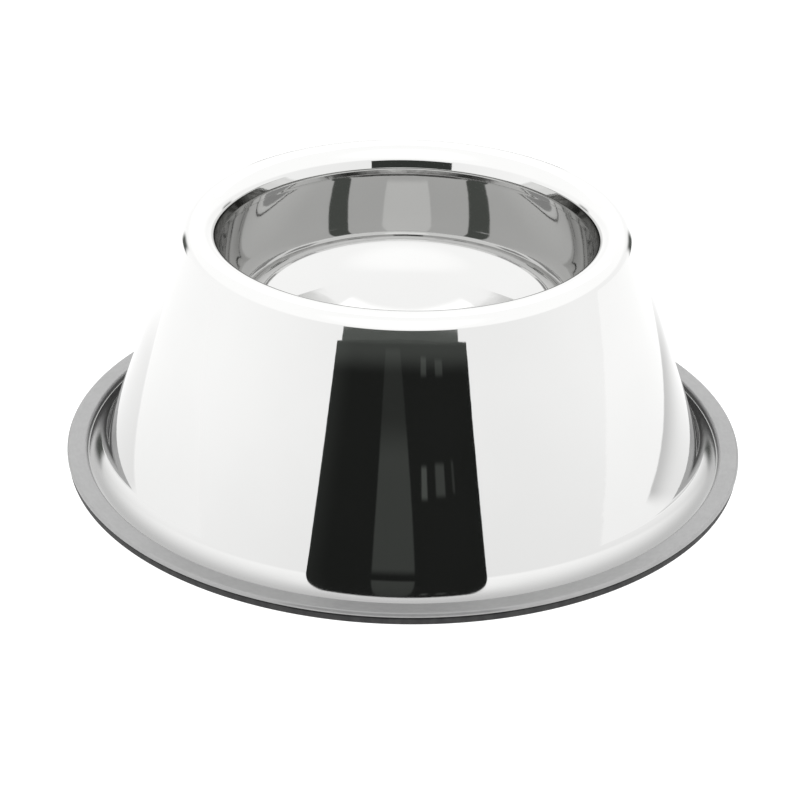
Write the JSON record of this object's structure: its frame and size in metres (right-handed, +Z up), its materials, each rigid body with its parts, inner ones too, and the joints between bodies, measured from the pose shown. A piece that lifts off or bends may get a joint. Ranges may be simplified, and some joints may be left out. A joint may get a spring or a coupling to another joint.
{
  "type": "pet bowl",
  "caption": "Round stainless pet bowl with a tall conical skirt, a wide flanged foot and a black rubber ring under the flange.",
  "frame": {"origin": "centre of the foot, on the floor that the rubber ring stands on", "axes": "+Z up along the bowl's axis of revolution; +X and +Y are level, and the pictured side faces -Y"},
  "size_m": [0.25, 0.25, 0.0912],
  "materials": {
    "polished_steel": "mirror polish",
    "drawn_steel": "bright drawn",
    "black_rubber": "matte",
    "adhesive": "satin"
  },
  "bodies": {
    "root": {"outer_skirt": "polished_steel", "inner_bowl": "drawn_steel", "rubber_ring": "black_rubber", "adhesive_bead": "adhesive"}
  },
  "joints": []
}
